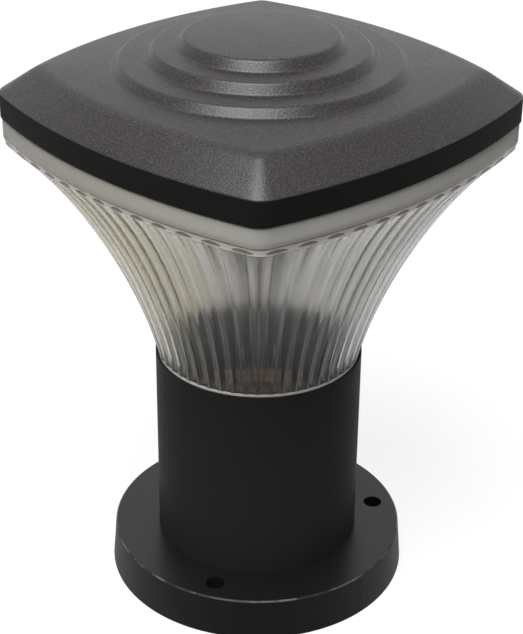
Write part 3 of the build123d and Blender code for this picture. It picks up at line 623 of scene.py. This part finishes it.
def black_abs(name, dark, pale, painted_glint, gloss, dull, grain_strength, shine):
    """Black moulding: greys and roughnesses mixed by slow clouds, grain as a bump, and painted glints on
    its peaks.
    """
    material, tree, shader = new_material(name)
    place = add_node(tree, "ShaderNodeTexCoord")
    grain = add_node(
        tree, "ShaderNodeTexNoise",
        {"Vector": place.outputs["Object"], "Scale": 1 / (GRAIN * MM), "Detail": 2.0, "Roughness": 0.6},
    )
    cloud = add_node(
        tree, "ShaderNodeTexNoise",
        {"Vector": place.outputs["Object"], "Scale": 1 / (CLOUD * MM), "Detail": 4.0},
    )
    grey = add_node(
        tree, "ShaderNodeMix", {"Factor": cloud.outputs["Fac"], "A": linear(dark), "B": linear(pale)},
        data_type="RGBA",
    )
    height = add_node(
        tree, "ShaderNodeMapRange",
        {"Value": grain.outputs["Fac"], "From Min": PEAK_START, "From Max": PEAK_END},
    )
    # The grain's peaks are painted paler: painted glints.
    speckle = add_node(
        tree, "ShaderNodeMix",
        {"Factor": height.outputs["Result"], "A": grey.outputs["Result"], "B": linear(painted_glint)},
        data_type="RGBA",
    )
    rough = add_node(
        tree, "ShaderNodeMapRange", {"Value": cloud.outputs["Fac"], "To Min": gloss, "To Max": dull}
    )
    bump = add_node(
        tree, "ShaderNodeBump",
        {"Height": grain.outputs["Fac"], "Strength": grain_strength, "Distance": GRAIN_DEPTH * MM},
    )
    tree.links.new(speckle.outputs["Result"], shader.inputs["Base Color"])
    tree.links.new(rough.outputs["Result"], shader.inputs["Roughness"])
    tree.links.new(bump.outputs["Normal"], shader.inputs["Normal"])
    shader.inputs["Specular IOR Level"].default_value = shine
    return material


cap_plastic = black_abs(
    "grained_black_abs", "#141111", "#181515", "#3d3938",
    gloss=0.32, dull=0.41, grain_strength=0.5, shine=0.38,
)
rim_plastic = black_abs(
    "plain_black_abs", "#191918", "#1d1d1c", "#1d1d1c",
    gloss=0.52, dull=0.60, grain_strength=0.05, shine=0.03,
)
print("cap plastics ready")

# %% [markdown]
# ## Cap
# The cap is a shell: a short upright rim, a bevel up to a soft crease, an almost flat top and three
# raised rings. A moulding has no sharp edges, so each corner of its profile is rounded: it is
# replaced by a small curve between a point before it and a point after it. The profile changes
# with the angle only from the crease outwards, because the rings are round.

# %% Profile of the cap
CAP_FOOT = 214.4
CAP_RIM_TOP = 224.7
CREASE_HEIGHT = 235.5
CREASE_SIDE_MID = 74.0
CREASE_SIDE_RADIUS = 197.0
CREASE_CORNER_RADIUS = 4.0
PLATEAU_HEIGHT = 236.7
RING_RADII = (60.0, 46.5, 34.3)
RING_RISERS = (3.6, 4.2, 4.2)
RISER_RUN = 3.0
TREAD_RISE = 0.4
CROWN_HEIGHT = 250.5
CENTRE_RADIUS = 0.02


def ring_profile(inset):
    """Radii and heights of the raised rings, from the outer foot inwards, moved in and down."""
    places = []
    height = PLATEAU_HEIGHT - inset
    for radius, riser in zip(RING_RADII, RING_RISERS):
        places.append((radius - inset, height))
        height += riser
        places.append((radius - RISER_RUN - inset, height))
        height += TREAD_RISE
    places.append((CENTRE_RADIUS, CROWN_HEIGHT - inset))
    return places


def cap_profile(angle, inset):
    """Corners of the cap's profile at each angle: rim, bevel, crease, plateau, rings and middle."""
    bevel_angle = np.arctan2(CREASE_HEIGHT - CAP_RIM_TOP, HEAD_HALF - CREASE_SIDE_MID)
    rim = head_plan(angle, inset)
    crease_inset = inset * np.tan(bevel_angle / 2)
    crease = square_plan(
        angle,
        CREASE_SIDE_MID - crease_inset,
        CREASE_SIDE_RADIUS - crease_inset,
        CREASE_CORNER_RADIUS - crease_inset,
    )
    rim_top = CAP_RIM_TOP - inset * np.tan(np.pi / 4 - bevel_angle / 2)
    places = [(rim, CAP_FOOT), (rim, rim_top), (crease, CREASE_HEIGHT - inset)]
    places += ring_profile(inset)
    radii = np.stack([np.broadcast_to(radius, angle.shape) for radius, height in places])
    heights = np.stack([np.broadcast_to(height, angle.shape) for radius, height in places])
    return np.stack((radii, heights), axis=-1)


print("cap profile has", len(cap_profile(np.zeros(1), 0.0)), "corners")

# %% Make the cap
CAP_WALL = 2.4
QUARTER_STEPS = 96
CURVE_STEPS = 7
DOME_STEPS = 8
OUTER_ROUNDS = (0.7, 3.0, 0.9, 1.0, 0.9, 1.0, 0.9, 1.2)
INNER_ROUNDS = (0.6, 2.0, 0.5, 0.5, 0.5, 0.5, 0.5, 0.5)
RIM_MARGIN = 0.3
CORNER_LINE = 0.35
CORNER_CUBE = 0.65


def corner_angles():
    """Angles round the cap: a line and a cube make them six times closer at corners than along sides."""
    share = 2 * np.arange(QUARTER_STEPS) / QUARTER_STEPS - 1
    quarter = np.pi / 4 * (CORNER_LINE * share + CORNER_CUBE * share**3)
    return (FRONT_ANGLE + quarter[None, :] + np.pi / 2 * np.arange(4)[:, None]).reshape(-1)


def rounded(corners, sizes):
    """Profile with each inner corner replaced by a curve that starts and ends a size away from it."""
    middle = corners[1:-1]
    before = corners[:-2] - middle
    after = corners[2:] - middle
    size = np.asarray(sizes)[:, None, None]
    start = middle + before / np.linalg.norm(before, axis=-1, keepdims=True) * size
    end = middle + after / np.linalg.norm(after, axis=-1, keepdims=True) * size
    share = np.linspace(0, 1, CURVE_STEPS)[None, :, None, None]
    curve = (1 - share) ** 2 * start[:, None]
    curve = curve + 2 * share * (1 - share) * middle[:, None]
    curve = curve + share**2 * end[:, None]
    curve = curve.reshape(-1, *corners.shape[1:])
    return np.concatenate((corners[:1], curve, corners[-1:]))


def cap_points():
    """Rows of points: from the middle of the inside, down the inner rim and up the outside to the top."""
    angle = corner_angles()
    outer = rounded(cap_profile(angle, 0.0), OUTER_ROUNDS)
    inner = rounded(cap_profile(angle, CAP_WALL), INNER_ROUNDS)
    dome_share = np.linspace(0, 1, DOME_STEPS)[1:-1, None]
    dome_edge = outer[-2]
    dome_radius = dome_edge[None, :, 0] * (1 - dome_share)
    dome_height = CROWN_HEIGHT - (CROWN_HEIGHT - dome_edge[None, :, 1]) * (1 - dome_share) ** 2
    dome = np.stack((dome_radius, np.broadcast_to(dome_height, dome_radius.shape)), axis=-1)
    profile = np.concatenate((inner[::-1], outer[:-1], dome, outer[-1:]))
    return around(profile[..., 0], angle[None, :], profile[..., 1])


cap = grid_piece("moulded_cap", cap_points(), cap_plastic)
cap.data.materials.append(rim_plastic)
face_centres = np.empty(3 * len(cap.data.polygons))
cap.data.polygons.foreach_get("center", face_centres)
on_rim = face_centres.reshape(-1, 3)[:, 2] < (CAP_RIM_TOP - RIM_MARGIN) * MM
cap.data.polygons.foreach_set("material_index", on_rim.astype(np.int32))
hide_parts("cap_shell")
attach(cap, "cap")

# %% [markdown]
# ## Black powder coat
# The post and the flange are aluminium with a matte black powder coat. Such a coat flows out to a
# faint orange peel, about one and a half millimetres across. Upright faces are dull, and on the
# flange their reflections are painted darker: painted shade. The flange's top, where the molten coat
# lay level, is smoother and mirrors the pale ground and the dark post. The flange has been handled:
# its top edge is rubbed here and there to a thin paler line.

# %% Powder coat
PEEL = 1.6
PEEL_STRENGTH = 0.12
PEEL_DEPTH = 0.05
SCUFF = 22.0
SCUFF_DULL = 0.15
UPRIGHT = 0.5
LEVEL = 0.9
UPRIGHT_ROUGH = 0.5
LEVEL_ROUGH = 0.24


def powder_coat(name, dark, pale, shine, side_shine):
    """Black coat: peel as bump, clouds in its grey, and reflections that can be painted darker on upright
    faces.
    """
    material, tree, shader = new_material(name)
    place = add_node(tree, "ShaderNodeTexCoord")
    peel = add_node(
        tree, "ShaderNodeTexNoise",
        {"Vector": place.outputs["Object"], "Scale": 1 / (PEEL * MM), "Detail": 2.0},
    )
    scuff = add_node(
        tree, "ShaderNodeTexNoise",
        {"Vector": place.outputs["Object"], "Scale": 1 / (SCUFF * MM), "Detail": 8.0, "Roughness": 0.7},
    )
    coat = add_node(
        tree, "ShaderNodeMix", {"Factor": scuff.outputs["Fac"], "A": linear(dark), "B": linear(pale)},
        data_type="RGBA",
    )
    facing = add_node(tree, "ShaderNodeSeparateXYZ", {"Vector": place.outputs["Normal"]})
    # A specular tint under one darkens the reflections of upright faces: painted shade.
    if side_shine < 1:
        upward = add_node(
            tree, "ShaderNodeMapRange",
            {"Value": facing.outputs["Z"], "From Min": UPRIGHT, "From Max": LEVEL, "To Min": side_shine},
        )
        tree.links.new(upward.outputs["Result"], shader.inputs["Specular Tint"])
    gloss = add_node(
        tree, "ShaderNodeMapRange",
        {"Value": facing.outputs["Z"], "From Min": UPRIGHT, "From Max": LEVEL,
         "To Min": UPRIGHT_ROUGH, "To Max": LEVEL_ROUGH},
    )
    rough = add_node(
        tree, "ShaderNodeMath", {0: scuff.outputs["Fac"], 1: SCUFF_DULL, 2: gloss.outputs["Result"]},
        operation="MULTIPLY_ADD",
    )
    bump = add_node(
        tree, "ShaderNodeBump",
        {"Height": peel.outputs["Fac"], "Strength": PEEL_STRENGTH, "Distance": PEEL_DEPTH * MM},
    )
    tree.links.new(coat.outputs["Result"], shader.inputs["Base Color"])
    tree.links.new(rough.outputs["Value"], shader.inputs["Roughness"])
    tree.links.new(bump.outputs["Normal"], shader.inputs["Normal"])
    shader.inputs["Specular IOR Level"].default_value = shine
    return material, tree, shader


# The post's coat is painted a lighter grey than the flange's: painted light, making up for the little
# light on its upright faces.
post_paint = powder_coat(
    "powder_coat_on_the_post", "#2b2b2c", "#2f2f30", shine=0.03, side_shine=1.0
)[0]
flange_paint, tree, shader = powder_coat(
    "powder_coat_on_the_flange", "#171718", "#1b1b1c", shine=0.36, side_shine=0.1
)
print("powder coats ready")

# %% Rubbed edge of the flange
RUB = 7.0
RUB_START = 0.45
RUB_END = 0.62
RUB_MOST = 0.6
FLANGE_TOP = 18.3
FLANGE_RADIUS = 65.0
EDGE_BEVEL = 0.6
EDGE_SOFT = 0.1


def rub_edge(tree, shader):
    """Lay a thin, broken, paler line on the flange's top edge, over the colour that is there."""
    place = add_node(tree, "ShaderNodeTexCoord")
    split = add_node(tree, "ShaderNodeSeparateXYZ", {"Vector": place.outputs["Object"]})
    flat = add_node(tree, "ShaderNodeCombineXYZ", {"X": split.outputs["X"], "Y": split.outputs["Y"]})
    reach = add_node(tree, "ShaderNodeVectorMath", {0: flat.outputs["Vector"]}, operation="LENGTH")
    rim = add_node(
        tree, "ShaderNodeMapRange",
        {"Value": reach.outputs["Value"], "From Min": (FLANGE_RADIUS - EDGE_BEVEL - EDGE_SOFT) * MM,
         "From Max": (FLANGE_RADIUS - EDGE_BEVEL + EDGE_SOFT) * MM},
    )
    top = add_node(
        tree, "ShaderNodeMapRange",
        {"Value": split.outputs["Z"], "From Min": (FLANGE_TOP - EDGE_BEVEL) * MM,
         "From Max": (FLANGE_TOP - EDGE_BEVEL + 2 * EDGE_SOFT) * MM},
    )
    edge = add_node(
        tree, "ShaderNodeMath", {0: rim.outputs["Result"], 1: top.outputs["Result"]},
        operation="MULTIPLY",
    )
    broken = add_node(
        tree, "ShaderNodeTexNoise",
        {"Vector": place.outputs["Object"], "Scale": 1 / (RUB * MM), "Detail": 3.0},
    )
    patches = add_node(
        tree, "ShaderNodeMapRange",
        {"Value": broken.outputs["Fac"], "From Min": RUB_START, "From Max": RUB_END, "To Max": RUB_MOST},
    )
    rubbed = add_node(
        tree, "ShaderNodeMath", {0: edge.outputs["Value"], 1: patches.outputs["Result"]},
        operation="MULTIPLY",
    )
    below = shader.inputs["Base Color"].links[0].from_socket
    worn = add_node(
        tree, "ShaderNodeMix", {"Factor": rubbed.outputs["Value"], "A": below, "B": linear("#857b74")},
        data_type="RGBA",
    )
    tree.links.new(worn.outputs["Result"], shader.inputs["Base Color"])


rub_edge(tree, shader)
print("flange's edge rubbed, with", len(tree.nodes), "nodes in its paint")

# %% [markdown]
# ## Finishes inside
# The rest sits inside and shows only through the clear wall or when the head is lifted off. Each
# finish is one shader with a noise that breaks up its colour and its gloss: plated steel and brass are
# metals, the tray is sheet with a white enamel, the board, the driver and the terminal block are
# mouldings, and the seals are rubber. Each row of the table gives a slot's finish: its name, two
# shades, whether it is a metal, two roughnesses, and the size of the noise in millimetres.

# %% Materials inside
INNER_FINISHES = {
    "zinc_steel": ("zinc_plated_steel", "#b9baba", "#cacbcb", 1.0, 0.50, 0.64, 2.5),
    "brass": ("turned_brass", "#a8843f", "#bf9a50", 1.0, 0.25, 0.38, 2.0),
    # The brown phenolic is painted paler, a light tan: painted light, making up for the little light that
    # reaches it inside the clear wall.
    "brown_phenolic": ("brown_phenolic_moulding", "#cca68e", "#d6b39c", 0.0, 0.38, 0.52, 1.2),
    "rubber": ("black_rubber", "#1c1c1c", "#242424", 0.0, 0.65, 0.80, 1.5),
    "tray_aluminium": ("white_enamelled_sheet", "#dededa", "#e8e8e4", 0.0, 0.35, 0.50, 3.0),
    "board_white": ("white_solder_mask", "#dcdcd8", "#e6e6e2", 0.0, 0.30, 0.42, 4.0),
    "chip_phosphor": ("yellow_phosphor_resin", "#dcc35a", "#e8d477", 0.0, 0.18, 0.30, 0.8),
    "driver_plastic": ("white_potted_case", "#cfcfca", "#dadad6", 0.0, 0.45, 0.60, 2.0),
    "lead_insulation": ("grey_insulation", "#b6b6b4", "#c2c2c0", 0.0, 0.35, 0.48, 1.0),
    "tie_nylon": ("black_nylon", "#1f1f1f", "#292929", 0.0, 0.42, 0.55, 1.0),
}


def inner_finish(name, dark, pale, metallic, gloss, dull, size):
    """Finish with two shades and two roughnesses mixed by a noise of one size in mm."""
    material, tree, shader = new_material(name)
    place = add_node(tree, "ShaderNodeTexCoord")
    mottle = add_node(
        tree, "ShaderNodeTexNoise",
        {"Vector": place.outputs["Object"], "Scale": 1 / (size * MM), "Detail": 4.0},
    )
    shade = add_node(
        tree, "ShaderNodeMix", {"Factor": mottle.outputs["Fac"], "A": linear(dark), "B": linear(pale)},
        data_type="RGBA",
    )
    rough = add_node(
        tree, "ShaderNodeMapRange", {"Value": mottle.outputs["Fac"], "To Min": gloss, "To Max": dull}
    )
    tree.links.new(shade.outputs["Result"], shader.inputs["Base Color"])
    tree.links.new(rough.outputs["Result"], shader.inputs["Roughness"])
    shader.inputs["Metallic"].default_value = metallic
    return material


finish_of = {slot: inner_finish(*values) for slot, values in INNER_FINISHES.items()}
finish_of["post_paint"] = post_paint
finish_of["flange_paint"] = flange_paint
finish_of["cap_plastic"] = cap_plastic
finish_of["clear_plastic"] = clear_plastic
for name, node in nodes.items():
    node.data.materials.clear()
    node.data.materials.append(finish_of[slot_of[name]])
print("finishes on", len(nodes), "nodes")

# %% [markdown]
# ## Floor and light
# The photograph has a white ground and one large soft lamp above and in front. The floor is white to
# the camera, in reflections and through the clear plastic, and keeps a soft shadow. It grows whiter away
# from the object, until it meets the white world without an edge. To other rays both are dimmer, so
# that they don't brighten the upright faces.

# %% Floor
FLOOR_HALF = 4000.0
FLOOR_DROP = 0.3
FADE_START = 500.0
FADE_END = 1500.0
NEAR_LEVEL = 0.86


def seen_directly(tree):
    """One where a surface is seen by the camera, in a reflection or through the clear plastic."""
    path = add_node(tree, "ShaderNodeLightPath")
    seen = add_node(
        tree, "ShaderNodeMath", {0: path.outputs["Is Camera Ray"], 1: path.outputs["Is Glossy Ray"]},
        operation="MAXIMUM",
    )
    seen = add_node(
        tree, "ShaderNodeMath", {0: seen.outputs["Value"], 1: path.outputs["Is Transmission Ray"]},
        operation="MAXIMUM",
    )
    return seen.outputs["Value"]


floor_finish, tree, shader = new_material("pale_studio_floor")
place = add_node(tree, "ShaderNodeTexCoord")
reach = add_node(tree, "ShaderNodeVectorMath", {0: place.outputs["Object"]}, operation="LENGTH")
level = add_node(
    tree, "ShaderNodeMapRange",
    {"Value": reach.outputs["Value"], "From Min": FADE_START * MM, "From Max": FADE_END * MM,
     "To Min": NEAR_LEVEL},
)
glow = add_node(
    tree, "ShaderNodeEmission", {"Color": (1.0, 1.0, 1.0, 1.0), "Strength": level.outputs["Result"]}
)
matte = add_node(tree, "ShaderNodeBsdfDiffuse", {"Color": linear("#808080")})
white = add_node(tree, "ShaderNodeAddShader", {0: glow.outputs["Emission"], 1: matte.outputs["BSDF"]})
dim = add_node(tree, "ShaderNodeBsdfDiffuse", {"Color": linear("#8a8a8a")})
both = add_node(
    tree, "ShaderNodeMixShader",
    {0: seen_directly(tree), 1: dim.outputs["BSDF"], 2: white.outputs["Shader"]},
)
tree.nodes.remove(shader)
tree.links.new(both.outputs["Shader"], tree.nodes["Material Output"].inputs["Surface"])
corners = np.array([(-1, -1), (1, -1), (1, 1), (-1, 1)]) * FLOOR_HALF
floor_mesh = bpy.data.meshes.new("floor")
floor_points = np.column_stack((corners, np.full(4, -FLOOR_DROP))) * MM
floor_mesh.from_pydata(floor_points.tolist(), [], [(0, 1, 2, 3)])
floor_mesh.materials.append(floor_finish)
floor = bpy.data.objects.new("floor", floor_mesh)
bpy.context.scene.collection.objects.link(floor)
print("floor is", round(2 * FLOOR_HALF * MM, 1), "m wide")

# %% World and lamp
WORLD_LEVEL = 0.2
LAMP_SIZE = 860.0
LAMP_RIGHT = -180.0
LAMP_AWAY = -430.0
LAMP_HEIGHT = 1300.0
LAMP_AIM = 150.0
LAMP_POWER = 21.5

world = bpy.data.worlds.new("studio")
world.use_nodes = True
tree = world.node_tree
backdrop = tree.nodes["Background"]
level = add_node(
    tree, "ShaderNodeMapRange", {"Value": seen_directly(tree), "To Min": WORLD_LEVEL, "To Max": 1.0}
)
tree.links.new(level.outputs["Result"], backdrop.inputs["Strength"])
backdrop.inputs["Color"].default_value = (1.0, 1.0, 1.0, 1.0)
bpy.context.scene.world = world

lamp_data = bpy.data.lights.new("soft_lamp", "AREA")
lamp_data.shape = "DISK"
lamp_data.size = LAMP_SIZE * MM
lamp_data.energy = LAMP_POWER
lamp = bpy.data.objects.new("soft_lamp", lamp_data)
bpy.context.scene.collection.objects.link(lamp)
lamp_place = Matrix.Rotation(FRONT_ANGLE, 3, "Z") @ Vector((LAMP_RIGHT, LAMP_AWAY, LAMP_HEIGHT)) * MM
lamp.location = lamp_place
lamp.rotation_euler = (Vector((0, 0, LAMP_AIM * MM)) - lamp_place).to_track_quat("-Z", "Y").to_euler()
bpy.context.scene.view_settings.view_transform = "Standard"
print("lamp at", [round(value, 3) for value in lamp_place])
